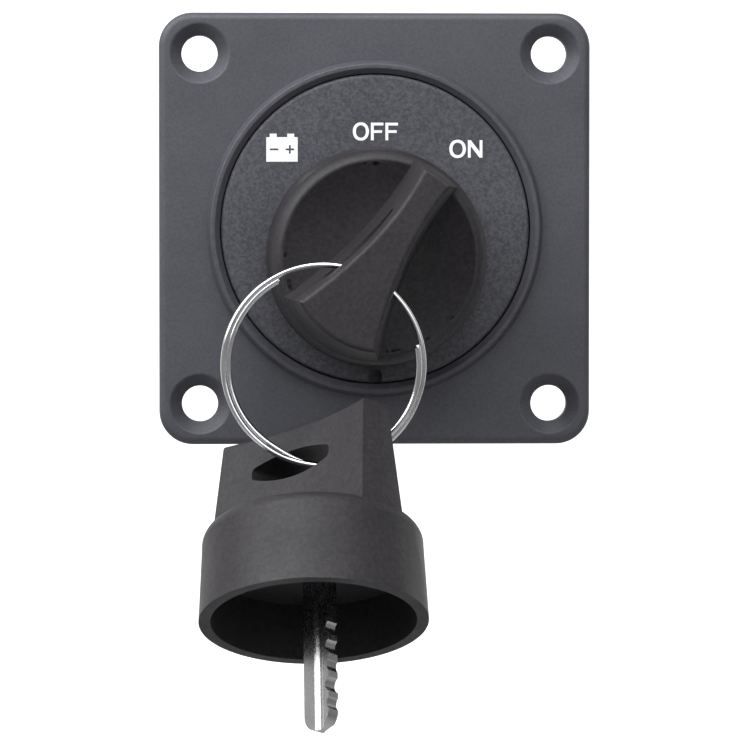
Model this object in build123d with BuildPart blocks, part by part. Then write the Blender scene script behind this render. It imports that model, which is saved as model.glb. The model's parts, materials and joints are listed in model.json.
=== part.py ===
"""Key-operated battery isolator switch for a boat's panel, with its spare key on a split ring.

Frame: millimetres, +Z up, the front faces -Y. The origin is the centre of the face plate's back,
where it lies on the panel. The switch stands in its ON position, with the key in the lock.
"""
from build123d import *
from math import cos, radians, sin, sqrt
import os

# Face plate
PLATE_SIDE = 69.0
PLATE_THICK = 4.0
PLATE_CORNER_R = 5.4
PLATE_EDGE_R = 1.2
SCREW_PITCH = 56.0
SCREW_HOLE_R = 2.9
COUNTERSINK_R = 4.75
BEZEL_R = 26.9
BEZEL_TOP = 5.7
BEZEL_FLANK = 0.6
BEZEL_CREST = 0.7
BEZEL_ROUND = 0.3
BEZEL_LIP = 4.9
LEDGE_R = 22.5
LEDGE_HEIGHT = 1.5
SPIGOT_AIR = 0.1
COUNTERSINK_ROUND = 0.5

# Dial
DIAL_R = 24.6
DIAL_POCKET_R = 24.8
DIAL_FRONT = 5.3
DIAL_EDGE_R = 0.6
NOTCH_WIDTH = 2.1
NOTCH_HEIGHT = 2.2
NOTCH_DEPTH = 1.4

# Key axis and travel
KEY_DROP = 4.5
ON_ANGLE = 34.0

# Housing behind the panel
CASE_R = 26.0
CASE_WALL = 2.5
FRONT_WALL_BACK = 4.0
CASE_JOINT = 32.0
CASE_BACK = 38.0
CASE_EDGE_R = 1.2
GUIDE_R = 17.5
GUIDE_WALL = 2.5
GUIDE_BACK = 25.0
CASE_SCREW_RADIUS = 21.9
CASE_SCREW_ANGLES = (48, 132, 192, 348)
CASE_SCREW_R = 1.5
CASE_SCREW_TIP = 22.0
GASKET_R = 24.75
GASKET_WIDTH = 1.1
GASKET_THICK = 0.8
SCREW_HEAD_R = 2.8
SCREW_HEAD_THICK = 1.9
HEAD_AIR = 0.1
THREAD_AIR = 0.02
SCREW_HOLE_SPARE = 1.0
CROSS_LENGTH = 3.0
CROSS_WIDTH = 0.8
CROSS_DEPTH = 1.0
BARRIER_THICK = 2.4
BARRIER_LENGTH = 44.2
BARRIER_HEIGHT = 12.0

# Lock
FLANGE_R = 11.5
FLANGE_THICK = 1.5
FLANGE_EDGE_R = 0.5
BARREL_R = 9.5
BARREL_FLATS = 16.6
BARREL_BACK = 15.0
PLUG_R = 6.0
PLUG_FIT = 0.05
PLUG_CHAMFER = 0.3
WAFER_COUNT = 5
WAFER_FIRST = -3.0
WAFER_STEP = 3.0
WAFER_THICK = 0.9
WAFER_WIDTH = 4.4
WAFER_GROOVE_DEPTH = 1.4
WAFER_MARGIN = 1.0
WAFER_AIR = 0.1
WAFER_WINDOW = 0.2
TAIL_SIDE = 6.4
TAIL_BACK = 20.0
NECK_R = 4.0
CLIP_R = 7.2
CLIP_THICK = 0.8
CLIP_AIR = 0.1
CLIP_MOUTH = 6.4
KEYWAY_BACK = 13.6
KEYWAY_FIT = 0.06
BARREL_NUT_FLATS = 24.0
BARREL_NUT_THICK = 4.5
BARREL_NUT_CHAMFER = 0.5
SEAL_R = 11.0
SEAL_THICK = 1.0

# Rotor and contacts
ROTOR_R = 17.2
ROTOR_FRONT = 16.2
ROTOR_BACK = 26.2
SPRING_SEAT = 22.2
SPRING_SEAT_R = 8.0
PEG_SIDE = 7.0
PEG_BACK = 31.0
PIVOT_R = 2.5
PIVOT_BACK = 34.0
PIVOT_AIR = 0.3
DETENT_Y = 20.2
DETENT_REACH = 3.0
DETENT_GROOVE_R = 2.2
DETENT_GROOVE_RADIUS = 16.3
BALL_R = 2.0
BALL_AIR = 0.05
DETENT_FLOOR = 9.2
DETENT_COIL_R = 1.35
DETENT_WIRE_R = 0.25
DETENT_COIL_TURNS = 4
LUG_ROOT_R = 16.7
LUG_R = 18.8
LUG_HALF_ANGLE = 4.0
LUG_AIR = 1.0
LUG_SLOT_R = 19.2
LUG_SLOT_SPARE = 1.0
STUD_SPREAD = 13.5
BUTTON_R = 3.5
BUTTON_FACE = 30.0
CONTACT_THICK = 2.5
CONTACT_GAP = 0.05
CONTACT_COIL_R = 6.3
CONTACT_WIRE_R = 0.6
CONTACT_COIL_TURNS = 2.5
PEG_FIT = 0.1

# Studs and their hardware
STUD_R = 5.0
SHANK_R = 4.5
NUT_FIT = 0.05
SHANK_BACK = 50.7
STUD_END = 60.0
STUD_CHAMFER = 0.8
STUD_HEAD_SIDE = 12.0
STUD_HEAD_THICK = 3.0
WASHER_R = 10.0
WASHER_THICK = 2.0
WASHER_CHAMFER = 0.3
WASHER_AIR = 0.25
SPRING_WASHER_R = 8.9
SPRING_WASHER_THICK = 2.2
SPRING_WASHER_SPLIT = 1.0
NUT_FLATS = 17.0
NUT_THICK = 8.0
NUT_CHAMFER = 0.6

# Key
RIM_R = 17.45
RIM_GAP = 0.4
SHOULDER_R = 16.9
SHOULDER_START = 12.0
SHOULDER_IN = 1.7
SKIRT_HEIGHT = 14.8
CREST_R = 0.6
CUP_R = 15.65
CUP_DEPTH = 9.0
DISH_FLOOR = 12.5
DISH_FLOOR_R = 5.0
KNOB_HEIGHT = 31.6
SLOT_LENGTH = 14.6
SLOT_HEIGHT = 4.6
SLOT_END = 1.8
SLOT_SHIFT = -0.2
SLOT_DROP = 6.35
SLOT_EDGE_R = 0.8
BLADE_WIDTH = 5.5
BLADE_THICK = 1.9
BLADE_SHIFT = 1.4
BLADE_REACH = 18.0
BLADE_ROOT = 21.0
BLADE_CUTS = (0.45, 0.75, 0.35, 0.6, 0.5)
CUT_R = 1.25
FIRST_CUT = 3.6
GROOVE_R = 1.5
GROOVE_DEPTH = 0.45
GROOVE_SHIFT = 2.1

# Fin of the key, at its root and at its top: (wide end's radius, half the wide end's chord,
# half the waist, narrow end's radius, half the narrow end's chord)
FIN_ROOT = 7.0
FIN_ROOT_OUTLINE = (16.9, 9.8, 4.9, 16.9, 4.7)
FIN_TOP_OUTLINE = (14.5, 6.9, 2.6, 15.0, 2.5)
FIN_EDGE_R = 0.7
WAIST_START = -4.0
WAIST_END = 3.5
WAIST_FLARE = 1.5

# Split ring and the spare key hanging on it
RING_R = 15.4
WIRE_R = 0.5
RING_TURNS = 1.7
RING_PITCH = 1.2
RING_START = 118.0
RING_CENTRE = (-9.0, -30.6, -21.0)
SPARE_ORIGIN = (-10.8, -40.7, -59.5)
SPARE_TURN = 50.0
SPARE_TILT = 27.4

os.makedirs("parts", exist_ok=True)


def keep(piece, label, place=Location()):
    """Put a finished piece in its place, label it and write its STEP."""
    placed = place * piece.part
    placed.label = label
    export_step(placed, f"parts/{label}.step")


# Working planes: local z points out of the front, so a depth of y is an offset of -y.
front = Plane(origin=(0, 0, 0), x_dir=(1, 0, 0), z_dir=(0, -1, 0))
core = Plane(origin=(0, 0, -KEY_DROP), x_dir=(1, 0, 0), z_dir=(0, -1, 0))
turned = Plane(origin=core.origin, x_dir=(cos(radians(ON_ANGLE)), 0, -sin(radians(ON_ANGLE))),
               z_dir=(0, -1, 0))
section = Plane(origin=(0, 0, 0), x_dir=(1, 0, 0), z_dir=(0, 0, -1))
key_plane = turned.offset(DIAL_FRONT + RIM_GAP)


def at(plane, depth):
    """The plane, moved to a depth behind the panel's face."""
    return plane.offset(-depth)


def ring_sector(inner_r, outer_r, start, sweep):
    """Add a sector of a ring to the sketch that is being built."""
    with BuildLine() as outline:
        inner = CenterArc((0, 0), inner_r, start, sweep)
        outer = CenterArc((0, 0), outer_r, start, sweep)
        Line(inner @ 0, outer @ 0)
        Line(inner @ 1, outer @ 1)
    make_face(outline.edges())


# Face plate: square flange with a raised bezel and four countersunk screw holes
with BuildPart() as face_plate:
    with BuildSketch(front):
        RectangleRounded(PLATE_SIDE, PLATE_SIDE, PLATE_CORNER_R)
    extrude(amount=PLATE_THICK)
    fillet(face_plate.faces().sort_by(Axis.Y)[0].edges(), PLATE_EDGE_R)
    with BuildSketch(section):
        with BuildLine():
            Polyline((LEDGE_R, LEDGE_HEIGHT), (BEZEL_R, LEDGE_HEIGHT), (BEZEL_R, PLATE_THICK),
                     (BEZEL_R - BEZEL_FLANK, BEZEL_TOP), (BEZEL_R - BEZEL_FLANK - BEZEL_CREST, BEZEL_TOP),
                     (DIAL_POCKET_R, BEZEL_LIP), (LEDGE_R, BEZEL_LIP), close=True)
        make_face()
    revolve(axis=Axis.Y)
    fillet(face_plate.faces().sort_by(Axis.Y)[0].edges(), BEZEL_ROUND)
    with BuildSketch(front.offset(LEDGE_HEIGHT)):
        Circle(DIAL_POCKET_R)
    extrude(amount=BEZEL_TOP, mode=Mode.SUBTRACT)
    with BuildSketch(front):
        Circle(LEDGE_R)
    extrude(amount=BEZEL_TOP, mode=Mode.SUBTRACT)
    with Locations(front.offset(PLATE_THICK)):
        with GridLocations(SCREW_PITCH, SCREW_PITCH, 2, 2):
            CounterSinkHole(SCREW_HOLE_R, COUNTERSINK_R, counter_sink_angle=90)
    mouths = face_plate.edges().filter_by(GeomType.CIRCLE)
    fillet(mouths.filter_by(lambda edge: abs(edge.radius - COUNTERSINK_R) < 0.01), COUNTERSINK_ROUND)
keep(face_plate, "face_plate")

# Dial: the disc with the markings, on the face plate's ledge
with BuildPart() as dial:
    with BuildSketch(front.offset(LEDGE_HEIGHT)):
        Circle(DIAL_R)
    extrude(amount=DIAL_FRONT - LEDGE_HEIGHT)
    fillet(dial.faces().sort_by(Axis.Y)[0].edges(), DIAL_EDGE_R)
    with BuildSketch(front.offset(DIAL_FRONT - NOTCH_DEPTH)):
        with Locations((0, -DIAL_R - NOTCH_WIDTH / 2 + NOTCH_HEIGHT / 2)):
            SlotOverall(NOTCH_HEIGHT + NOTCH_WIDTH, NOTCH_WIDTH, rotation=90)
    extrude(amount=NOTCH_DEPTH, mode=Mode.SUBTRACT)
    with BuildSketch(turned):
        Circle(BARREL_R)
        Rectangle(BARREL_FLATS, 2 * BARREL_R, mode=Mode.INTERSECT)
    extrude(amount=DIAL_FRONT, mode=Mode.SUBTRACT)
    with BuildSketch(core.offset(DIAL_FRONT - SEAL_THICK)):
        Circle(SEAL_R)
    extrude(amount=SEAL_THICK, mode=Mode.SUBTRACT)
keep(dial, "dial")

# Front housing: tube behind the panel with the front wall, the rotor's guide ring and bosses
with BuildPart() as front_housing:
    with BuildSketch(front):
        Circle(CASE_R)
    extrude(amount=-CASE_JOINT)
    with BuildSketch(front):
        Circle(LEDGE_R - SPIGOT_AIR)
    extrude(amount=LEDGE_HEIGHT)
    with BuildSketch(at(front, FRONT_WALL_BACK)):
        Circle(CASE_R - CASE_WALL)
    extrude(amount=-(CASE_JOINT - FRONT_WALL_BACK), mode=Mode.SUBTRACT)
    with BuildSketch(at(core, FRONT_WALL_BACK)):
        Circle(GUIDE_R + GUIDE_WALL)
    extrude(amount=-(GUIDE_BACK - FRONT_WALL_BACK))
    with BuildSketch(at(core, FRONT_WALL_BACK)):
        Circle(GUIDE_R)
    extrude(amount=-(CASE_JOINT - FRONT_WALL_BACK), mode=Mode.SUBTRACT)
    with BuildSketch(at(front, FRONT_WALL_BACK)):
        for angle in CASE_SCREW_ANGLES:
            with PolarLocations(CASE_SCREW_RADIUS, 1, start_angle=angle):
                Circle(2 * CASE_SCREW_R)
    extrude(amount=-(CASE_JOINT - FRONT_WALL_BACK))
    for angle in CASE_SCREW_ANGLES:
        with Locations(at(front, CASE_JOINT).rotated((180, 0, 0))):
            with PolarLocations(CASE_SCREW_RADIUS, 1, start_angle=-angle):
                Hole(CASE_SCREW_R + THREAD_AIR, depth=CASE_JOINT - CASE_SCREW_TIP + SCREW_HOLE_SPARE)
    with BuildSketch(turned.offset(LEDGE_HEIGHT)):
        Circle(BARREL_R)
        Rectangle(BARREL_FLATS, 2 * BARREL_R, mode=Mode.INTERSECT)
    extrude(amount=-(LEDGE_HEIGHT + FRONT_WALL_BACK), mode=Mode.SUBTRACT)
    # Detent grooves for the two balls, at ON and at OFF
    with BuildSketch(at(core, DETENT_Y - DETENT_REACH)):
        for start in (0, ON_ANGLE):
            with PolarLocations(DETENT_GROOVE_RADIUS, 2, start_angle=start):
                Circle(DETENT_GROOVE_R)
    extrude(amount=-(GUIDE_BACK - DETENT_Y + DETENT_REACH), mode=Mode.SUBTRACT)
    # Slot in which the rotor's lug stops at both ends of its travel
    with BuildSketch(at(core, ROTOR_FRONT)):
        ring_sector(LUG_ROOT_R, LUG_SLOT_R, 90 - LUG_HALF_ANGLE - LUG_SLOT_SPARE,
                    ON_ANGLE + 2 * (LUG_HALF_ANGLE + LUG_SLOT_SPARE))
    extrude(amount=-(GUIDE_BACK - ROTOR_FRONT), mode=Mode.SUBTRACT)
keep(front_housing, "front_housing")

# Rear housing: floor that carries the studs, with a barrier between them
with BuildPart() as rear_housing:
    with BuildSketch(at(front, CASE_JOINT)):
        Circle(CASE_R)
    extrude(amount=-(CASE_BACK - CASE_JOINT))
    fillet(rear_housing.faces().sort_by(Axis.Y)[-1].edges(), CASE_EDGE_R)
    with BuildSketch(at(front, CASE_BACK)):
        Rectangle(BARRIER_THICK, BARRIER_LENGTH)
        with GridLocations(0, BARRIER_LENGTH, 1, 2):
            Rectangle(3 * BARRIER_THICK, BARRIER_THICK)
    extrude(amount=-BARRIER_HEIGHT)
    # Parking pads, level with the contact buttons, for the contact bar at OFF
    with BuildSketch(at(core, BUTTON_FACE)):
        with PolarLocations(STUD_SPREAD, 2, start_angle=ON_ANGLE):
            Circle(BUTTON_R)
    extrude(amount=-(CASE_JOINT - BUTTON_FACE))
    with BuildSketch(at(core, CASE_JOINT)):
        with PolarLocations(STUD_SPREAD, 2):
            Rectangle(STUD_HEAD_SIDE, STUD_HEAD_SIDE)
    extrude(amount=-STUD_HEAD_THICK, mode=Mode.SUBTRACT)
    with BuildSketch(at(core, CASE_JOINT)):
        with PolarLocations(STUD_SPREAD, 2):
            Circle(STUD_R)
    extrude(amount=-(CASE_BACK - CASE_JOINT), mode=Mode.SUBTRACT)
    with BuildSketch(at(core, CASE_JOINT)):
        Circle(PIVOT_R + PLUG_FIT)
    extrude(amount=-(PIVOT_BACK - CASE_JOINT + PIVOT_AIR), mode=Mode.SUBTRACT)
    with BuildSketch(at(front, CASE_JOINT)):
        Circle(GASKET_R + GASKET_WIDTH / 2)
        Circle(GASKET_R - GASKET_WIDTH / 2, mode=Mode.SUBTRACT)
    extrude(amount=-GASKET_THICK, mode=Mode.SUBTRACT)
    for angle in CASE_SCREW_ANGLES:
        with Locations(at(front, CASE_BACK).rotated((180, 0, 0))):
            with PolarLocations(CASE_SCREW_RADIUS, 1, start_angle=-angle):
                CounterBoreHole(CASE_SCREW_R, SCREW_HEAD_R, SCREW_HEAD_THICK)
keep(rear_housing, "rear_housing")

with BuildPart() as case_gasket:
    with BuildSketch(at(front, CASE_JOINT)):
        Circle(GASKET_R + GASKET_WIDTH / 2)
        Circle(GASKET_R - GASKET_WIDTH / 2, mode=Mode.SUBTRACT)
    extrude(amount=-GASKET_THICK)
keep(case_gasket, "case_gasket")

with BuildPart() as case_screws:
    for angle in CASE_SCREW_ANGLES:
        with BuildSketch(at(front, CASE_BACK - SCREW_HEAD_THICK)):
            with PolarLocations(CASE_SCREW_RADIUS, 1, start_angle=angle):
                Circle(CASE_SCREW_R)
        extrude(amount=CASE_BACK - SCREW_HEAD_THICK - CASE_SCREW_TIP)
        with BuildSketch(at(front, CASE_BACK)):
            with PolarLocations(CASE_SCREW_RADIUS, 1, start_angle=angle):
                Circle(SCREW_HEAD_R - HEAD_AIR)
        extrude(amount=SCREW_HEAD_THICK)
        with BuildSketch(at(front, CASE_BACK)):
            with PolarLocations(CASE_SCREW_RADIUS, 1, start_angle=angle):
                Rectangle(CROSS_LENGTH, CROSS_WIDTH)
                Rectangle(CROSS_WIDTH, CROSS_LENGTH)
        extrude(amount=CROSS_DEPTH, mode=Mode.SUBTRACT)
keep(case_screws, "case_screws")


# Terminal studs: square head let into the floor, contact button inside, and an M10 end outside.
# The shank, where the nut's thread engages, has the thread's pitch radius, and the free end its full one.
def stud(side, label):
    """One terminal stud; side is -1 for the left one and +1 for the right one."""
    with BuildPart() as piece:
        with BuildSketch(at(core, BUTTON_FACE)):
            with Locations((side * STUD_SPREAD, 0)):
                Circle(BUTTON_R)
        extrude(amount=-(CASE_JOINT - BUTTON_FACE))
        with BuildSketch(at(core, CASE_JOINT)):
            with Locations((side * STUD_SPREAD, 0)):
                Rectangle(STUD_HEAD_SIDE, STUD_HEAD_SIDE)
        extrude(amount=-STUD_HEAD_THICK)
        with BuildSketch(at(core, CASE_JOINT)):
            with Locations((side * STUD_SPREAD, 0)):
                Circle(SHANK_R)
        extrude(amount=-(SHANK_BACK - CASE_JOINT))
        with BuildSketch(at(core, SHANK_BACK)):
            with Locations((side * STUD_SPREAD, 0)):
                Circle(STUD_R)
        extrude(amount=-(STUD_END - SHANK_BACK))
        chamfer(piece.faces().sort_by(Axis.Y)[-1].edges(), STUD_CHAMFER)
    keep(piece, label)


stud(-1, "battery_stud")
stud(1, "load_stud")


def on_studs(label, depth, thick, outer, bore, flats=None, split=0.0, edge=WASHER_CHAMFER):
    """A washer or a nut on both studs, at a depth behind the panel's face."""
    with BuildPart() as pair:
        with BuildSketch(at(core, depth)):
            with GridLocations(2 * STUD_SPREAD, 0, 2, 1):
                if flats:
                    RegularPolygon(flats / 2, 6, major_radius=False, rotation=30)
                else:
                    Circle(outer)
        extrude(amount=-thick)
        chamfer(pair.faces().filter_by(Plane.XZ).edges(), edge)
        with BuildSketch(at(core, depth)):
            with GridLocations(2 * STUD_SPREAD, 0, 2, 1):
                Circle(bore)
        extrude(amount=-thick, mode=Mode.SUBTRACT)
        if split:
            with BuildSketch(at(core, depth)):
                with GridLocations(2 * STUD_SPREAD, 0, 2, 1):
                    Rectangle(split, 2 * outer, align=(Align.CENTER, Align.MIN))
            extrude(amount=-thick, mode=Mode.SUBTRACT)
    keep(pair, label)


on_studs("stud_plain_washers", CASE_BACK, WASHER_THICK, WASHER_R, STUD_R + WASHER_AIR)
on_studs("stud_spring_washers", CASE_BACK + WASHER_THICK, SPRING_WASHER_THICK, SPRING_WASHER_R,
         STUD_R + WASHER_AIR, split=SPRING_WASHER_SPLIT)
on_studs("stud_nuts", CASE_BACK + WASHER_THICK + SPRING_WASHER_THICK, NUT_THICK, NUT_FLATS / 2,
         SHANK_R + NUT_FIT, flats=NUT_FLATS, edge=NUT_CHAMFER)

# Lock: barrel through the dial and the front wall, held by a flange, a seal and a nut
with BuildPart() as lock_barrel:
    with BuildSketch(core.offset(DIAL_FRONT)):
        Circle(FLANGE_R)
    extrude(amount=FLANGE_THICK)
    fillet(lock_barrel.faces().sort_by(Axis.Y)[0].edges(), FLANGE_EDGE_R)
    with BuildSketch(turned.offset(DIAL_FRONT)):
        Circle(BARREL_R)
        Rectangle(BARREL_FLATS, 2 * BARREL_R, mode=Mode.INTERSECT)
    extrude(amount=-(DIAL_FRONT + BARREL_BACK))
    with BuildSketch(core.offset(DIAL_FRONT + FLANGE_THICK)):
        Circle(PLUG_R + PLUG_FIT)
    extrude(amount=-(DIAL_FRONT + FLANGE_THICK + BARREL_BACK), mode=Mode.SUBTRACT)
    # Grooves that the wafers spring into when the key is out
    with BuildSketch(turned.offset(WAFER_MARGIN - WAFER_FIRST)):
        Rectangle(WAFER_WIDTH + 2 * WAFER_AIR, 2 * (PLUG_R + WAFER_GROOVE_DEPTH))
    extrude(amount=-(WAFER_COUNT * WAFER_STEP + WAFER_MARGIN), mode=Mode.SUBTRACT)
keep(lock_barrel, "lock_barrel")

with BuildPart() as barrel_seal:
    with BuildSketch(core.offset(DIAL_FRONT - SEAL_THICK)):
        Circle(SEAL_R)
        Circle(BARREL_R, mode=Mode.SUBTRACT)
    extrude(amount=SEAL_THICK)
keep(barrel_seal, "barrel_seal")

with BuildPart() as barrel_nut:
    with BuildSketch(at(core, FRONT_WALL_BACK)):
        RegularPolygon(BARREL_NUT_FLATS / 2, 6, major_radius=False)
    extrude(amount=-BARREL_NUT_THICK)
    chamfer(barrel_nut.faces().filter_by(Plane.XZ).edges(), BARREL_NUT_CHAMFER)
    with BuildSketch(at(core, FRONT_WALL_BACK)):
        Circle(BARREL_R)
    extrude(amount=-BARREL_NUT_THICK, mode=Mode.SUBTRACT)
keep(barrel_nut, "barrel_nut")

with BuildPart() as lock_plug:
    with BuildSketch(turned.offset(DIAL_FRONT + FLANGE_THICK)):
        Circle(PLUG_R)
    extrude(amount=-(DIAL_FRONT + FLANGE_THICK + BARREL_BACK))
    chamfer(lock_plug.faces().sort_by(Axis.Y)[0].edges(), PLUG_CHAMFER)
    with BuildSketch(at(turned, BARREL_BACK)):
        Circle(NECK_R)
    extrude(amount=-(ROTOR_FRONT - BARREL_BACK))
    with BuildSketch(at(turned, ROTOR_FRONT)):
        Rectangle(TAIL_SIDE, TAIL_SIDE)
    extrude(amount=-(TAIL_BACK - ROTOR_FRONT))
    with BuildSketch(turned.offset(DIAL_FRONT + FLANGE_THICK)):
        with Locations((0, BLADE_SHIFT)):
            Rectangle(BLADE_THICK + 2 * KEYWAY_FIT, BLADE_WIDTH + 2 * KEYWAY_FIT)
    extrude(amount=-(DIAL_FRONT + FLANGE_THICK + KEYWAY_BACK), mode=Mode.SUBTRACT)
    for number in range(WAFER_COUNT):
        with BuildSketch(at(turned, WAFER_FIRST + number * WAFER_STEP - WAFER_AIR / 2)):
            Rectangle(WAFER_WIDTH + WAFER_AIR, 2 * PLUG_R)
        extrude(amount=-(WAFER_THICK + WAFER_AIR), mode=Mode.SUBTRACT)
keep(lock_plug, "lock_plug")

with BuildPart() as lock_wafers:
    for number in range(WAFER_COUNT):
        with BuildSketch(at(turned, WAFER_FIRST + number * WAFER_STEP)):
            Circle(PLUG_R - WAFER_AIR)
            Rectangle(WAFER_WIDTH, 2 * PLUG_R, mode=Mode.INTERSECT)
            with Locations((0, BLADE_SHIFT)):
                Rectangle(BLADE_THICK + 2 * WAFER_WINDOW, BLADE_WIDTH + 2 * WAFER_WINDOW, mode=Mode.SUBTRACT)
        extrude(amount=-WAFER_THICK)
keep(lock_wafers, "lock_wafers")

with BuildPart() as plug_clip:
    with BuildSketch(at(turned, BARREL_BACK + CLIP_AIR)):
        Circle(CLIP_R)
        Circle(NECK_R, mode=Mode.SUBTRACT)
        Rectangle(CLIP_R, CLIP_MOUTH, align=(Align.MIN, Align.CENTER), mode=Mode.SUBTRACT)
    extrude(amount=-CLIP_THICK)
keep(plug_clip, "plug_clip")

# Rotor: driven by the plug's square tail, turns the sprung contact bar
with BuildPart() as rotor:
    with BuildSketch(at(core, ROTOR_FRONT)):
        Circle(ROTOR_R)
    extrude(amount=-(ROTOR_BACK - ROTOR_FRONT))
    with BuildSketch(at(core, ROTOR_FRONT + LUG_AIR)):
        ring_sector(LUG_ROOT_R, LUG_R, 90 - LUG_HALF_ANGLE, 2 * LUG_HALF_ANGLE)
    extrude(amount=-(GUIDE_BACK - ROTOR_FRONT - 2 * LUG_AIR))
    with BuildSketch(at(turned, ROTOR_FRONT)):
        Rectangle(TAIL_SIDE, TAIL_SIDE)
    extrude(amount=-(TAIL_BACK - ROTOR_FRONT), mode=Mode.SUBTRACT)
    with BuildSketch(at(core, SPRING_SEAT)):
        Circle(SPRING_SEAT_R)
    extrude(amount=-(ROTOR_BACK - SPRING_SEAT), mode=Mode.SUBTRACT)
    with BuildSketch(at(core, SPRING_SEAT)):
        Rectangle(PEG_SIDE, PEG_SIDE)
    extrude(amount=-(PEG_BACK - SPRING_SEAT))
    with BuildSketch(at(core, PEG_BACK)):
        Circle(PIVOT_R)
    extrude(amount=-(PIVOT_BACK - PEG_BACK))
    for side in (-1, 1):
        bore_plane = Plane(origin=(side * ROTOR_R, DETENT_Y, -KEY_DROP), z_dir=(side, 0, 0))
        with BuildSketch(bore_plane):
            Circle(BALL_R + BALL_AIR)
        extrude(amount=-(ROTOR_R - DETENT_FLOOR), mode=Mode.SUBTRACT)
keep(rotor, "rotor")

with BuildPart() as detent_balls:
    with Locations(at(core, DETENT_Y)):
        with PolarLocations(GUIDE_R - BALL_AIR - BALL_R, 2):
            Sphere(BALL_R)
keep(detent_balls, "detent_balls")


def coil(origin, direction, length, mean_r, wire_r, turns):
    """A compression spring that fills the given length, ends included."""
    rise = length - 2 * wire_r
    with BuildPart(mode=Mode.PRIVATE) as spring:
        with BuildLine():
            path = Helix(rise / turns, rise, mean_r, center=Vector(*origin) + Vector(*direction) * wire_r,
                         direction=direction)
        with BuildSketch(Plane(origin=path @ 0, z_dir=path % 0)):
            Circle(wire_r)
        sweep(is_frenet=True)
    return spring.part


detent_coils = [
    coil((side * DETENT_FLOOR, DETENT_Y, -KEY_DROP), (side, 0, 0),
         GUIDE_R - 2 * BALL_AIR - 2 * BALL_R - DETENT_FLOOR,
         DETENT_COIL_R, DETENT_WIRE_R, DETENT_COIL_TURNS)
    for side in (-1, 1)
]
with BuildPart() as detent_springs:
    add(detent_coils)
keep(detent_springs, "detent_springs")

contact_coil = coil((0, SPRING_SEAT, -KEY_DROP), (0, 1, 0),
                    BUTTON_FACE - CONTACT_GAP - CONTACT_THICK - SPRING_SEAT,
                    CONTACT_COIL_R, CONTACT_WIRE_R, CONTACT_COIL_TURNS)
with BuildPart() as contact_spring:
    add(contact_coil)
keep(contact_spring, "contact_spring")

with BuildPart() as moving_contact:
    with BuildSketch(at(core, BUTTON_FACE - CONTACT_GAP)):
        Circle(SPRING_SEAT_R)
        SlotCenterToCenter(2 * STUD_SPREAD, 2 * BUTTON_R)
        Rectangle(PEG_SIDE + 2 * PEG_FIT, PEG_SIDE + 2 * PEG_FIT, mode=Mode.SUBTRACT)
    extrude(amount=CONTACT_THICK)
keep(moving_contact, "moving_contact")


# Keys: a cupped knob with a waisted fin across it, and a steel blade moulded into the fin
def fin_outline(plane, wide_r, wide, waist, narrow_r, narrow):
    """The fin's cross-section: narrow end up, flaring to the wide end, round at both ends."""
    wide_y = -sqrt(wide_r ** 2 - wide ** 2)
    narrow_y = sqrt(narrow_r ** 2 - narrow ** 2)
    with BuildSketch(plane) as outline:
        with BuildLine():
            right = Spline((wide, wide_y), (waist + WAIST_FLARE, WAIST_START), (waist, WAIST_END),
                           (narrow, narrow_y))
            left = Spline((-wide, wide_y), (-waist - WAIST_FLARE, WAIST_START), (-waist, WAIST_END),
                          (-narrow, narrow_y))
            ThreePointArc(right @ 1, (0, narrow_r), left @ 1)
            ThreePointArc(right @ 0, (0, -wide_r), left @ 0)
        make_face()
    return outline.sketch.face()


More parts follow.
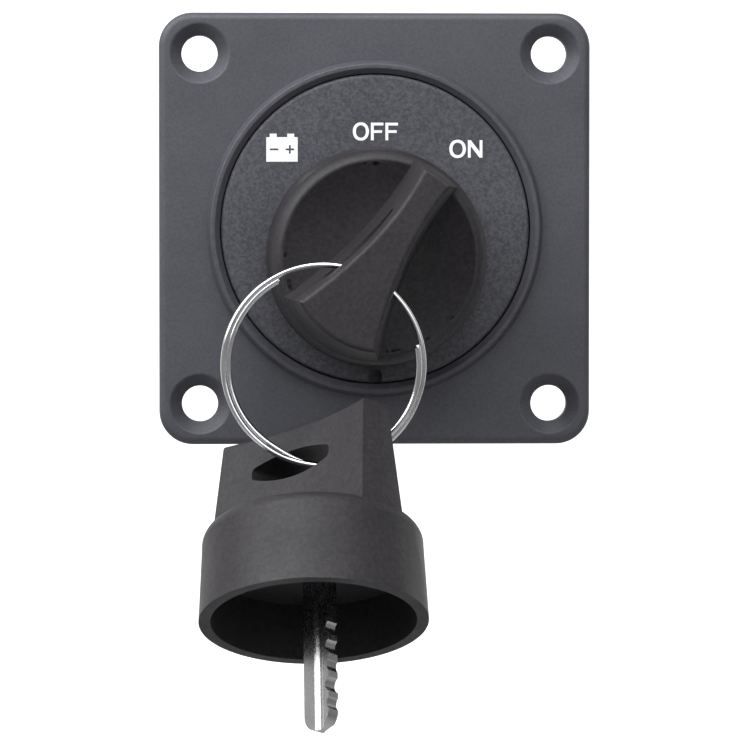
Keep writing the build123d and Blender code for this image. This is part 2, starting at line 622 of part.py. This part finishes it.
def key(place, prefix):
    """One key at the given place, where z is its axis and y points to the fin's narrow end."""
    crest = (SHOULDER_R - SHOULDER_IN, SKIRT_HEIGHT)
    with BuildPart() as knob:
        with BuildSketch(Plane.XZ):
            with BuildLine():
                Polyline((0, DISH_FLOOR), (0, 0), (RIM_R, 0), (SHOULDER_R, SHOULDER_START))
                RadiusArc((SHOULDER_R, SHOULDER_START), crest, -(SKIRT_HEIGHT - SHOULDER_START))
                TangentArc((DISH_FLOOR_R, DISH_FLOOR), crest, tangent=(1, 0))
                Line((DISH_FLOOR_R, DISH_FLOOR), (0, DISH_FLOOR))
            make_face()
        revolve(axis=Axis.Z)
        fillet(knob.edges().filter_by(GeomType.CIRCLE).sort_by(Axis.Z)[-1], CREST_R)
        loft([fin_outline(Plane.XY.offset(FIN_ROOT), *FIN_ROOT_OUTLINE),
              fin_outline(Plane.XY.offset(KNOB_HEIGHT), *FIN_TOP_OUTLINE)])
        fillet(knob.faces().sort_by(Axis.Z)[-1].edges(), FIN_EDGE_R)
        with BuildSketch(Plane.XY):
            Circle(CUP_R)
        extrude(amount=CUP_DEPTH, mode=Mode.SUBTRACT)
        # Slot through the fin for the ring, bowed above and below, with blunt ends
        with BuildSketch(Plane.YZ):
            with BuildLine():
                middle = KNOB_HEIGHT - SLOT_DROP
                start = SLOT_SHIFT - SLOT_LENGTH / 2
                end = SLOT_SHIFT + SLOT_LENGTH / 2
                low = ThreePointArc((start, middle - SLOT_END / 2), (SLOT_SHIFT, middle - SLOT_HEIGHT / 2),
                                    (end, middle - SLOT_END / 2))
                high = ThreePointArc((start, middle + SLOT_END / 2), (SLOT_SHIFT, middle + SLOT_HEIGHT / 2),
                                     (end, middle + SLOT_END / 2))
                Line(low @ 0, high @ 0)
                Line(low @ 1, high @ 1)
            opening = make_face()
            fillet(opening.vertices(), SLOT_EDGE_R)
        extrude(amount=RIM_R, both=True, mode=Mode.SUBTRACT)
        with BuildSketch(Plane.XY.offset(CUP_DEPTH)):
            with Locations((0, BLADE_SHIFT)):
                Rectangle(BLADE_THICK, BLADE_WIDTH)
        extrude(amount=BLADE_ROOT - CUP_DEPTH, mode=Mode.SUBTRACT)
    keep(knob, f"{prefix}key_knob", place)

    # The blade stands a little off the key's axis, towards the fin's narrow end
    half = BLADE_WIDTH / 2
    near = BLADE_SHIFT + half
    far = BLADE_SHIFT - half
    tip = -BLADE_REACH
    with BuildPart() as blade:
        with BuildSketch(Plane.YZ.offset(-BLADE_THICK / 2)):
            with BuildLine():
                Polyline((far, tip + half), (far, BLADE_ROOT), (near, BLADE_ROOT), (near, tip + half))
                ThreePointArc((near, tip + half), (BLADE_SHIFT, tip), (far, tip + half))
            make_face()
            # Round-bottomed cuts in the edge nearer the fin's narrow end
            for number, cut in enumerate(BLADE_CUTS):
                with Locations((near + CUT_R - cut, tip + FIRST_CUT + number * WAFER_STEP)):
                    Circle(CUT_R, mode=Mode.SUBTRACT)
        extrude(amount=BLADE_THICK)
        # Round-bottomed groove along each face, from the tip into the cup
        for side in (-1, 1):
            with BuildSketch(Plane.XY.offset(CUP_DEPTH - GROOVE_R)):
                with Locations((side * (BLADE_THICK / 2 + GROOVE_R - GROOVE_DEPTH), GROOVE_SHIFT)):
                    Circle(GROOVE_R)
            extrude(amount=-(BLADE_REACH + CUP_DEPTH), mode=Mode.SUBTRACT)
    keep(blade, f"{prefix}key_blade", place)


key(key_plane.location, "")
spare_place = Location(SPARE_ORIGIN) * Rot(-SPARE_TILT, 0, 0) * Rot(0, 0, -90 - SPARE_TURN)
key(spare_place, "spare_")

# Split ring: a wire coil of less than two turns, through the slots of both fins
ring_place = Plane(origin=RING_CENTRE, x_dir=(1, 0, 0), z_dir=(0, -1, 0)).location * Rot(0, 0, RING_START)
with BuildPart(mode=Mode.PRIVATE) as wire_coil:
    with BuildLine():
        wire_path = Helix(RING_PITCH, RING_PITCH * RING_TURNS, RING_R,
                          center=(0, 0, -RING_PITCH * RING_TURNS / 2))
    with BuildSketch(Plane(origin=wire_path @ 0, z_dir=wire_path % 0)):
        Circle(WIRE_R)
    sweep(is_frenet=True)
with BuildPart() as key_ring:
    add(ring_place * wire_coil.part)
keep(key_ring, "key_ring")
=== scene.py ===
"""Looks of the key-operated battery switch: materials, markings, split ring, threads and studio."""

import json
import math

import bmesh
import bpy
from mathutils import Matrix, Vector


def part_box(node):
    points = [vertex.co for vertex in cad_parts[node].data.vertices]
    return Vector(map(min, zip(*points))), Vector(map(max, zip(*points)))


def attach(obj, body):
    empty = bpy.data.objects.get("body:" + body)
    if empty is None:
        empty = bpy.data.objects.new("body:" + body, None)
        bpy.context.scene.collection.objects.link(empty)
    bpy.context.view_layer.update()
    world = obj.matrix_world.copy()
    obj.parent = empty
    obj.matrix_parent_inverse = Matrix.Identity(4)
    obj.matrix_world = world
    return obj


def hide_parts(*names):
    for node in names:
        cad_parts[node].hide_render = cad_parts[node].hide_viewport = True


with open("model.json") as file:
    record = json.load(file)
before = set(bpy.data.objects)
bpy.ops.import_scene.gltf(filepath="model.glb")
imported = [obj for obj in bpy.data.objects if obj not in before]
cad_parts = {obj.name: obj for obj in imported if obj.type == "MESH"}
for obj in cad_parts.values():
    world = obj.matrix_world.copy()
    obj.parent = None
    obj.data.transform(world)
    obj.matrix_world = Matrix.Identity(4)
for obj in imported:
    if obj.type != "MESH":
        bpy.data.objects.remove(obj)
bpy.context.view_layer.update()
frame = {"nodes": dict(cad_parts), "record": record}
nodes = frame["nodes"]
MM = 0.001

# Places taken from the frame
DIAL_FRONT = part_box("dial")[0].y
KEY_AXIS = Vector((0, 0, (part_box("lock_barrel")[0].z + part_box("lock_barrel")[1].z) / 2))


# ---------------------------------------------------------------- materials
# Noise scales are in features per metre, colours are linear and depths are in metres
NOISE_MIDDLE = (0.3, 0.7)
CLOUD_SCALE = 70
CLOUD_EDGES = (0.32, 0.68)
# The speckle's scale is this much of the grain's
SPECK_RATIO = 0.85
SPECK_EDGES = (0.36, 0.64)
SPECK_DARK = (0.30, 0.30, 0.31)
SPECK_LIGHT = (1.5, 1.5, 1.5)
HANDLING_SCALE = 240
HANDLING_STRETCH = (1, 1, 0.35)
WAVE_SCALE = 55
WAVE_DEPTH = 0.00002
TARNISH_SCALE = 180
TARNISH_SHADE = 0.8
INK_SCALE = 2600
BLOOM_SCALE = 400
ROUND_WIRE = (1, 1, 1)
DRAWN_ALONG_Y = (1, 0.12, 1)
DRAWN_ALONG_Z = (1, 1, 0.08)
CAST_ALONG_Y = (1, 0.2, 1)


class Shader:
    """A small helper that builds one node material around a Principled BSDF."""

    def __init__(self, name, **inputs):
        self.material = bpy.data.materials.new(name)
        self.material.use_nodes = True
        self.tree = self.material.node_tree
        self.surface = self.tree.nodes["Principled BSDF"]
        self.coords = self.add("ShaderNodeTexCoord").outputs["Object"]
        for key, value in inputs.items():
            self.surface.inputs[key.replace("_", " ")].default_value = value

    def add(self, kind, **settings):
        node = self.tree.nodes.new(kind)
        for key, value in settings.items():
            setattr(node, key, value)
        return node

    def link(self, source, target):
        self.tree.links.new(source, target)

    def noise(self, scale, detail, roughness=0.55, stretch=(1, 1, 1)):
        """Noise in object space; scale is in features per metre."""
        mapping = self.add("ShaderNodeMapping")
        mapping.inputs["Scale"].default_value = stretch
        self.link(self.coords, mapping.inputs["Vector"])
        node = self.add("ShaderNodeTexNoise")
        node.inputs["Scale"].default_value = scale
        node.inputs["Detail"].default_value = detail
        node.inputs["Roughness"].default_value = roughness
        self.link(mapping.outputs["Vector"], node.inputs["Vector"])
        return node.outputs["Fac"]

    def ramp(self, source, stops):
        """Map a value through (position, colour) stops."""
        node = self.add("ShaderNodeValToRGB")
        elements = node.color_ramp.elements
        for index, (position, colour) in enumerate(stops):
            element = elements[index] if index < 2 else elements.new(position)
            element.position = position
            element.color = (*colour, 1.0)
        self.link(source, node.inputs["Fac"])
        return node.outputs["Color"]

    def map_range(self, source, from_low, from_high, low, high):
        """Map from_low..from_high of a value to low..high."""
        node = self.add("ShaderNodeMapRange")
        node.inputs["From Min"].default_value = from_low
        node.inputs["From Max"].default_value = from_high
        node.inputs["To Min"].default_value = low
        node.inputs["To Max"].default_value = high
        self.link(source, node.inputs["Value"])
        return node.outputs["Result"]

    def spread(self, source, low, high):
        """Map the middle of a noise, where most of its values are, to low..high."""
        return self.map_range(source, *NOISE_MIDDLE, low, high)

    def bump(self, source, depth, below=None):
        """Add relief of the given depth in metres, on top of the relief below it."""
        node = self.add("ShaderNodeBump")
        node.inputs["Distance"].default_value = depth
        node.inputs["Strength"].default_value = 1.0
        self.link(source, node.inputs["Height"])
        if below is not None:
            self.link(below, node.inputs["Normal"])
        return node.outputs["Normal"]

    def finish(self, colour=None, roughness=None, normal=None):
        for source, target in ((colour, "Base Color"), (roughness, "Roughness"), (normal, "Normal")):
            if source is not None:
                self.link(source, self.surface.inputs[target])
        return self.material


def moulded_plastic(name, dark, light, rough, grain_scale, grain_depth,
                    speckle=0.4, seed=0.0, shine=0.4):
    """Moulded plastic: cloudy colour, spark-eroded grain and faint handling marks."""
    s = Shader(name, Specular_IOR_Level=shine)
    cloud = s.noise(CLOUD_SCALE + seed, 5, 0.6)
    speck = s.noise(grain_scale * SPECK_RATIO, 3, 0.7)
    colour = s.ramp(cloud, zip(CLOUD_EDGES, (dark, light)))
    tint = s.add("ShaderNodeMix", data_type="RGBA", blend_type="MULTIPLY")
    tint.inputs["Factor"].default_value = speckle
    s.link(colour, tint.inputs["A"])
    s.link(s.ramp(speck, zip(SPECK_EDGES, (SPECK_DARK, SPECK_LIGHT))), tint.inputs["B"])
    handling = s.noise(HANDLING_SCALE, 6, 0.7, stretch=HANDLING_STRETCH)
    roughness = s.spread(handling, rough - 0.05, rough + 0.06)
    grain = s.bump(s.noise(grain_scale, 3, 0.65), grain_depth)
    waves = s.bump(s.noise(WAVE_SCALE, 2), WAVE_DEPTH, below=grain)
    return s.finish(tint.outputs["Result"], roughness, waves)


def plated_metal(name, colour, rough, line_scale, stretch, depth):
    """Plated or brushed metal with fine drawn lines and slight tarnish."""
    s = Shader(name, Metallic=1.0)
    tarnish = s.noise(TARNISH_SCALE, 5, 0.65)
    shaded = tuple(c * TARNISH_SHADE for c in colour)
    lines = s.noise(line_scale, 3, 0.6, stretch=stretch)
    return s.finish(s.ramp(tarnish, zip(NOISE_MIDDLE, (shaded, colour))),
                    s.spread(lines, rough * 0.75, rough * 1.3), s.bump(lines, depth))


def printed_white(name):
    """Thin white ink, slightly uneven."""
    s = Shader(name, Specular_IOR_Level=0.4)
    ink = s.noise(INK_SCALE, 3, 0.6)
    return s.finish(s.ramp(ink, ((0.25, (0.80, 0.80, 0.80)), (0.6, (0.93, 0.93, 0.93)))),
                    s.spread(ink, 0.45, 0.6), s.bump(ink, 0.000008))


def soft_rubber(name):
    """Black rubber with a faint bloom."""
    s = Shader(name, Specular_IOR_Level=0.3)
    bloom = s.noise(BLOOM_SCALE, 5, 0.6)
    return s.finish(s.ramp(bloom, ((0.3, (0.012, 0.012, 0.012)), (0.75, (0.035, 0.035, 0.036)))),
                    s.spread(bloom, 0.6, 0.8), s.bump(s.noise(3000, 2), 0.00001))


MATERIALS = {
    "plate_plastic": moulded_plastic("plate_plastic", (0.056, 0.056, 0.065), (0.068, 0.068, 0.078),
                                     0.50, 2600, 0.00002, speckle=0.2),
    "dial_plastic": moulded_plastic("dial_plastic", (0.054, 0.054, 0.062), (0.068, 0.068, 0.078),
                                    0.55, 2300, 0.00008, speckle=0.55, seed=9),
    "case_plastic": moulded_plastic("case_plastic", (0.016, 0.016, 0.018), (0.024, 0.024, 0.026),
                                    0.42, 3000, 0.000012, seed=21),
    "knob_plastic": moulded_plastic("knob_plastic", (0.019, 0.0165, 0.0185), (0.026, 0.0225, 0.0255),
                                    0.55, 1700, 0.00002, speckle=0.45, seed=33, shine=0.36),
    "rotor_plastic": moulded_plastic("rotor_plastic", (0.36, 0.03, 0.02), (0.46, 0.05, 0.03),
                                     0.36, 3500, 0.00001, seed=41),
    "white_marking": printed_white("white_marking"),
    "seal_rubber": soft_rubber("seal_rubber"),
    "ring_steel": plated_metal("ring_steel", (0.86, 0.86, 0.87), 0.12, 3500, ROUND_WIRE, 0.000004),
    "blade_steel": plated_metal("blade_steel", (0.52, 0.52, 0.52), 0.24, 5000, DRAWN_ALONG_Z, 0.000006),
    "stainless": plated_metal("stainless", (0.60, 0.60, 0.59), 0.28, 4000, DRAWN_ALONG_Y, 0.000005),
    "lock_zinc": plated_metal("lock_zinc", (0.62, 0.62, 0.63), 0.25, 3000, CAST_ALONG_Y, 0.000005),
    "brass": plated_metal("brass", (0.72, 0.50, 0.22), 0.30, 4000, DRAWN_ALONG_Y, 0.000005),
    "copper": plated_metal("copper", (0.72, 0.42, 0.30), 0.30, 4000, DRAWN_ALONG_Y, 0.000005),
}


def dress(piece, slot):
    """Give a piece the material of one of the record's slots, and no other."""
    piece.data.materials.clear()
    piece.data.materials.append(MATERIALS[slot])


for part in frame["record"]["subparts"]:
    dress(nodes[part["node"]], part["material_slot"])


# ---------------------------------------------------------------- mesh helpers
def join_rings(shape, rings):
    """Fill between each ring of points and the next with a band of quads."""
    for low, high in zip(rings, rings[1:]):
        for k in range(len(low)):
            n = (k + 1) % len(low)
            shape.faces.new((low[k], low[n], high[n], high[k]))


def piece_from(mesh_builder, name, slot, body, replaces=()):
    """Turn a bmesh into an object of the scene that rides on a body."""
    mesh = bpy.data.meshes.new(name)
    mesh_builder.to_mesh(mesh)
    mesh_builder.free()
    piece = bpy.data.objects.new(name, mesh)
    bpy.context.scene.collection.objects.link(piece)
    dress(piece, slot)
    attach(piece, body)
    if replaces:
        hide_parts(*replaces)
    return piece


def extrude_outlines(outlines, place, thick):
    """A closed slab from flat outlines; the first is the outside and the others are holes in it."""
    shape = bmesh.new()
    edges = []
    for outline in outlines:
        points = [shape.verts.new(place @ Vector((x, y, 0))) for x, y in outline]
        edges += [shape.edges.new((a, b)) for a, b in zip(points, points[1:] + points[:1])]
    bmesh.ops.triangle_fill(shape, edges=edges, use_beauty=True, use_dissolve=False)
    raised = bmesh.ops.extrude_face_region(shape, geom=list(shape.faces))
    top = [g for g in raised["geom"] if isinstance(g, bmesh.types.BMVert)]
    bmesh.ops.translate(shape, verts=top, vec=place.to_3x3() @ Vector((0, 0, thick)))
    bmesh.ops.recalc_face_normals(shape, faces=shape.faces)
    return shape


# ---------------------------------------------------------------- markings on the dial
INK_THICK = 0.00004
CAP_HEIGHT = 2.8 * MM
# In capital heights: the letters' stroke and the gap between two letters
STROKE = 0.175
LETTER_GAP = 0.12
OVAL_ROUNDNESS = 2.15
OVAL_POINTS = 48
# Battery symbol: half width and half height of its case, its posts, and its minus and plus
SYMBOL_HALF = (2.5 * MM, 1.95 * MM)
SYMBOL_POST = 0.55 * MM
SYMBOL_ARM = 0.68 * MM
SYMBOL_BAR = 0.15 * MM


def on_dial(angle, radius):
    """Where a marking stands: an angle clockwise from straight up and a distance from the key's axis."""
    turn = math.radians(angle)
    centre = Vector((radius * math.sin(turn), DIAL_FRONT, KEY_AXIS.z + radius * math.cos(turn)))
    return Matrix.Translation(centre) @ Matrix.Rotation(math.radians(90), 4, "X")


def oval(width, height):
    """A squarish oval outline about the origin."""
    points = []
    for step in range(OVAL_POINTS):
        t = 2 * math.pi * step / OVAL_POINTS
        c, s = math.cos(t), math.sin(t)
        points.append((math.copysign(abs(c) ** (2 / OVAL_ROUNDNESS), c) * width / 2,
                       math.copysign(abs(s) ** (2 / OVAL_ROUNDNESS), s) * height / 2))
    return points


def letter(kind):
    """(width, outlines) of a bold sans-serif capital of height 1, centred on the origin."""
    if kind == "O":
        return 0.98, [oval(0.98, 1.04), oval(0.98 - 2.15 * STROKE, 1.04 - 1.9 * STROKE)]
    if kind == "F":
        w, s = 0.76, STROKE
        outline = [(0, 0), (s, 0), (s, 0.42), (0.68, 0.42), (0.68, 0.42 + 0.85 * s),
                   (s, 0.42 + 0.85 * s), (s, 1 - 0.9 * s), (w, 1 - 0.9 * s), (w, 1), (0, 1)]
    if kind == "N":
        w, s = 0.86, STROKE
        outline = [(0, 0), (0.95 * s, 0), (0.95 * s, 0.66), (w - s, 0), (w, 0), (w, 1),
                   (w - 0.95 * s, 1), (w - 0.95 * s, 0.34), (s, 1), (0, 1)]
    return w, [[(x - w / 2, y - 0.5) for x, y in outline]]


def word(text, angle, radius, width):
    """White letters in a row, fitted to the given width."""
    letters = [letter(kind) for kind in text]
    natural = sum(w for w, _ in letters) + LETTER_GAP * (len(letters) - 1)
    stretch = width / (natural * CAP_HEIGHT)
    cursor = -natural / 2
    for index, (w, outlines) in enumerate(letters):
        middle = cursor + w / 2
        scaled = [[((x + middle) * CAP_HEIGHT * stretch, y * CAP_HEIGHT) for x, y in outline]
                  for outline in outlines]
        slab = extrude_outlines(scaled, on_dial(angle, radius), INK_THICK)
        piece_from(slab, f"marking_{text}_{index}", "white_marking", "switch")
        cursor += w + LETTER_GAP


def battery_symbol(angle, radius):
    """A plain battery symbol: a case with two posts, and a minus and a plus cut out of it."""
    w, h = SYMBOL_HALF
    post, arm, bar = SYMBOL_POST, SYMBOL_ARM, SYMBOL_BAR
    case = [(-w, -h), (w, -h), (w, h), (w - post, h), (w - post, h + post), (w - 3 * post, h + post),
            (w - 3 * post, h), (3 * post - w, h), (3 * post - w, h + post), (post - w, h + post),
            (post - w, h), (-w, h)]
    plus = [(-bar, -arm), (bar, -arm), (bar, -bar), (arm, -bar), (arm, bar), (bar, bar),
            (bar, arm), (-bar, arm), (-bar, bar), (-arm, bar), (-arm, -bar), (-bar, -bar)]
    minus = [(-arm, -bar), (arm, -bar), (arm, bar), (-arm, bar)]
    outlines = [case, [(x - w / 2, y) for x, y in minus], [(x + w / 2, y) for x, y in plus]]
    slab = extrude_outlines(outlines, on_dial(angle, radius), INK_THICK)
    piece_from(slab, "battery_symbol", "white_marking", "switch")


# Angle clockwise from straight up, distance from the key's axis, and a word's width
word("OFF", 0, 20.0 * MM, 7.2 * MM)
word("ON", 40, 22.5 * MM, 5.3 * MM)
battery_symbol(-41, 22.7 * MM)


# ---------------------------------------------------------------- split ring
RING_WIRE_R = 0.45 * MM
RING_MEAN_R = 15.02 * MM
# How far each coil stands in or out of the mean radius, and how far it advances along Y in a turn
RING_STEP = 0.36 * MM
RING_PITCH = 1.2 * MM
RING_TURNS = 1.705
# Angle of the wire's start, in degrees from +X towards +Z
RING_START = 117.8
RING_POINTS = 520
WIRE_SIDES = 14
# A wire's end is a low dome of this many rings, as high as this much of the wire's radius
DOME_RINGS = 3
DOME_HEIGHT = 0.6
# Where the two coils change places, in turns from the wire's start
RING_SWAPS = ((0.33, 0.42), (1.42, 1.54))


def smooth_step(value, low, high):
    """Rise smoothly from 0 at low to 1 at high."""
    t = min(1.0, max(0.0, (value - low) / (high - low)))
    return t * t * (3 - 2 * t)


def sweep(path, radius):
    """A round wire along a list of points, with domed ends."""
    shape = bmesh.new()
    rings = []
    up = Vector((0, -1, 0))
    last = len(path) - 1
    for index, point in enumerate(path):
        ahead = (path[min(index + 1, last)] - path[max(index - 1, 0)]).normalized()
        side = up.cross(ahead).normalized()
        lift = ahead.cross(side)
        rounds = [(0.0, radius)]
        if index in (0, last):
            # Extra rings that close the end as a low dome
            steps = [math.radians(90 * k / DOME_RINGS) for k in range(DOME_RINGS)]
            rounds = [(DOME_HEIGHT * radius * math.sin(a), radius * math.cos(a)) for a in steps]
        sign = -1 if index == 0 else 1
        group = []
        for push, r in rounds:
            centre = point + sign * push * ahead
            turns = [2 * math.pi * k / WIRE_SIDES for k in range(WIRE_SIDES)]
            group.append([shape.verts.new(centre + r * (side * math.cos(a) + lift * math.sin(a)))
                          for a in turns])
        rings += group[::-1] if index == 0 else group
    join_rings(shape, rings)
    shape.faces.new(rings[0][::-1])
    shape.faces.new(rings[-1])
    bmesh.ops.recalc_face_normals(shape, faces=shape.faces)
    for face in shape.faces:
        face.smooth = len(face.verts) == 4
    return shape


def add_split_ring():
    """Two coils of wire side by side, each in turn the outer one, with free ends."""
    low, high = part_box("key_ring")
    centre = (low + high) / 2
    path = []
    for index in range(RING_POINTS + 1):
        turn = RING_TURNS * index / RING_POINTS
        angle = math.radians(RING_START + 360 * turn)
        swap = smooth_step(turn, *RING_SWAPS[0]) - smooth_step(turn, *RING_SWAPS[1])
        radius = RING_MEAN_R + RING_STEP * (2 * swap - 1)
        path.append(centre + Vector((radius * math.cos(angle), -RING_PITCH * (turn - RING_TURNS / 2),
                                     radius * math.sin(angle))))
    piece_from(sweep(path, RING_WIRE_R), "split_ring", "ring_steel", "ring", replaces=("key_ring",))


add_split_ring()


# ---------------------------------------------------------------- threaded studs
THREAD_R = 4.97 * MM
THREAD_PITCH = 1.5 * MM
THREAD_DEPTH = 0.55 * MM
# Length of the bevel at the stud's free end
THREAD_END = 0.8 * MM
THREAD_ROWS_PER_TURN = 8
# In half pitches: the groove's flat floor, and the slope up to the ridge's flat top
THREAD_FLOOR = 0.12
THREAD_SLOPE = 0.7
BUTTON_R = 3.5 * MM
BUTTON_HEIGHT = 2 * MM
HEAD_HALF = 5.95 * MM
HEAD_HEIGHT = 3 * MM
NECK_LENGTH = 1 * MM
STUD_SIDES = 48


def lathe(rows, radius_at):
    """A closed solid along Y: radius_at(angle, y, step) gives the radius of each row."""
    shape = bmesh.new()
    rings = []
    for y, step in rows:
        ring = []
        for k in range(STUD_SIDES):
            angle = 2 * math.pi * k / STUD_SIDES
            r = radius_at(angle, y, step)
            ring.append(shape.verts.new((r * math.cos(angle), y, r * math.sin(angle))))
        rings.append(ring)
    join_rings(shape, rings)
    shape.faces.new(rings[0])
    shape.faces.new(rings[-1][::-1])
    bmesh.ops.recalc_face_normals(shape, faces=shape.faces)
    return shape


def add_stud(node):
    """A terminal stud: round contact button, square head let into the floor, and a cut thread."""
    low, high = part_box(node)
    axis = Vector(((low.x + high.x) / 2, 0, (low.z + high.z) / 2))
    head_start = low.y + BUTTON_HEIGHT
    head_end = head_start + HEAD_HEIGHT
    thread_start = head_end + NECK_LENGTH
    count = round((high.y - thread_start) / (THREAD_PITCH / THREAD_ROWS_PER_TURN))
    pitch_rows = [thread_start + (high.y - thread_start) * k / count for k in range(count + 1)]
    rows = [(low.y, "button"), (head_start, "button"), (head_start, "head"), (head_end, "head"),
            (head_end, "neck"), (thread_start, "neck")]
    rows += [(y, "thread") for y in pitch_rows]

    def radius_at(angle, y, step):
        if step == "button":
            return BUTTON_R
        if step == "head":
            return HEAD_HALF / max(abs(math.cos(angle)), abs(math.sin(angle)))
        if step == "neck":
            return THREAD_R - THREAD_DEPTH
        phase = (y / THREAD_PITCH - angle / (2 * math.pi)) % 1.0
        ridge = min(1.0, max(0.0, (1 - abs(2 * phase - 1) - THREAD_FLOOR) / THREAD_SLOPE))
        bevelled = THREAD_R - max(0.0, y - (high.y - THREAD_END))
        return min(bevelled, THREAD_R - THREAD_DEPTH * (1 - ridge))

    shape = lathe(rows, radius_at)
    bmesh.ops.translate(shape, verts=shape.verts, vec=axis)
    piece_from(shape, f"threaded_{node}", "copper", "switch", replaces=(node,))


add_stud("battery_stud")
add_stud("load_stud")


# ---------------------------------------------------------------- camera, lights and stage
AIM = Vector((0, -0.004, -0.0234))
CAMERA_DISTANCE = 0.650
CAMERA_AZIMUTH = math.radians(-2.4)
CAMERA_ELEVATION = math.radians(1.9)
# Width of the view at the distance of the aim
VIEW_WIDTH = 0.12008
SENSOR_WIDTH = 36.0
LAMP_COLOUR = (0.95, 0.97, 1.0)
AIR_GLOW = 0.10
STAGE_FLOOR = -0.40
STAGE_R = 2.4
STAGE_CURVE_R = 0.8
STAGE_TOP = 3.0
STAGE_SIDES = 96
# Painted light: the wall and floor behind the switch glow by their own emission, standing in for lit
# paper, and the side by the camera glows only dimly:
# where along Y the glow rises, and its strengths before and after
STAGE_RISE = (0.4, 2.0)
STAGE_PAINTED_GLOW = (0.04, 0.95)


def direction(azimuth, elevation):
    """Unit vector from the switch; azimuth 0 is straight in front and grows to the right."""
    return Vector((math.sin(azimuth) * math.cos(elevation), -math.cos(azimuth) * math.cos(elevation),
                   math.sin(elevation)))


def add_camera():
    """A camera almost straight in front, a little to the left and above."""
    data = bpy.data.cameras.new("camera")
    data.sensor_width = SENSOR_WIDTH
    data.lens = data.sensor_width * CAMERA_DISTANCE / VIEW_WIDTH
    data.clip_start = 0.01
    camera = bpy.data.objects.new("camera", data)
    bpy.context.scene.collection.objects.link(camera)
    camera.location = AIM + CAMERA_DISTANCE * direction(CAMERA_AZIMUTH, CAMERA_ELEVATION)
    camera.rotation_euler = (AIM - camera.location).to_track_quat("-Z", "Y").to_euler()
    bpy.context.scene.camera = camera


def add_area(name, azimuth, elevation, distance, size, watts):
    """A square softbox aimed at the switch; azimuth 0 is straight in front."""
    data = bpy.data.lights.new(name, "AREA")
    data.size = size
    data.energy = watts
    data.color = LAMP_COLOUR
    lamp = bpy.data.objects.new(name, data)
    lamp.visible_camera = False
    bpy.context.scene.collection.objects.link(lamp)
    lamp.location = distance * direction(math.radians(azimuth), math.radians(elevation))
    lamp.rotation_euler = (-lamp.location).to_track_quat("-Z", "Y").to_euler()


def add_stage():
    """A pale round studio: a floor that curves up into a wall all round, glowing as painted light,
    brightest behind the switch.
    """
    rows = [(r, STAGE_FLOOR) for r in (0.02, 0.6, 1.2, STAGE_R)]
    rows += [(STAGE_R + STAGE_CURVE_R * math.sin(a), STAGE_FLOOR + STAGE_CURVE_R * (1 - math.cos(a)))
             for a in (math.radians(6 * k) for k in range(1, 16))]
    rows += [(STAGE_R + STAGE_CURVE_R, STAGE_TOP)]
    turns = [2 * math.pi * k / STAGE_SIDES for k in range(STAGE_SIDES)]
    shape = bmesh.new()
    rings = [[shape.verts.new((r * math.cos(a), r * math.sin(a), z)) for a in turns] for r, z in rows]
    shape.faces.new(rings[0])
    join_rings(shape, rings)
    for face in shape.faces:
        face.smooth = True
    mesh = bpy.data.meshes.new("studio")
    shape.to_mesh(mesh)
    shape.free()
    studio = bpy.data.objects.new("studio", mesh)
    bpy.context.scene.collection.objects.link(studio)
    s = Shader("studio_paint_and_glow", Roughness=0.9, Specular_IOR_Level=0.1)
    s.surface.inputs["Emission Color"].default_value = (1, 1, 1, 1)
    split = s.add("ShaderNodeSeparateXYZ")
    s.link(s.coords, split.inputs["Vector"])
    # Painted light: the stage's emission rises from dim by the camera to bright behind the switch,
    # though it is no lamp
    glow = s.map_range(split.outputs["Y"], *STAGE_RISE, *STAGE_PAINTED_GLOW)
    s.link(glow, s.surface.inputs["Emission Strength"])
    paint = s.ramp(s.noise(3, 2), ((0.0, (0.58, 0.58, 0.58)), (1.0, (0.62, 0.62, 0.62))))
    mesh.materials.append(s.finish(paint))


def add_world():
    """A faint even light from all round."""
    world = bpy.data.worlds.new("studio_air")
    world.use_nodes = True
    air = world.node_tree.nodes["Background"]
    air.inputs["Color"].default_value = (1, 1, 1, 1)
    air.inputs["Strength"].default_value = AIR_GLOW
    bpy.context.scene.world = world


add_camera()
add_stage()
add_world()
# Azimuth and elevation in degrees, distance and size in metres, power in watts
add_area("left_softbox", -60, 34, 0.44, 0.35, 2.0)
add_area("overhead_softbox", -14, 60, 0.44, 0.40, 2.0)
add_area("fill_softbox", 24, 26, 0.60, 0.50, 1.2)
bpy.context.scene.view_settings.view_transform = "Standard"
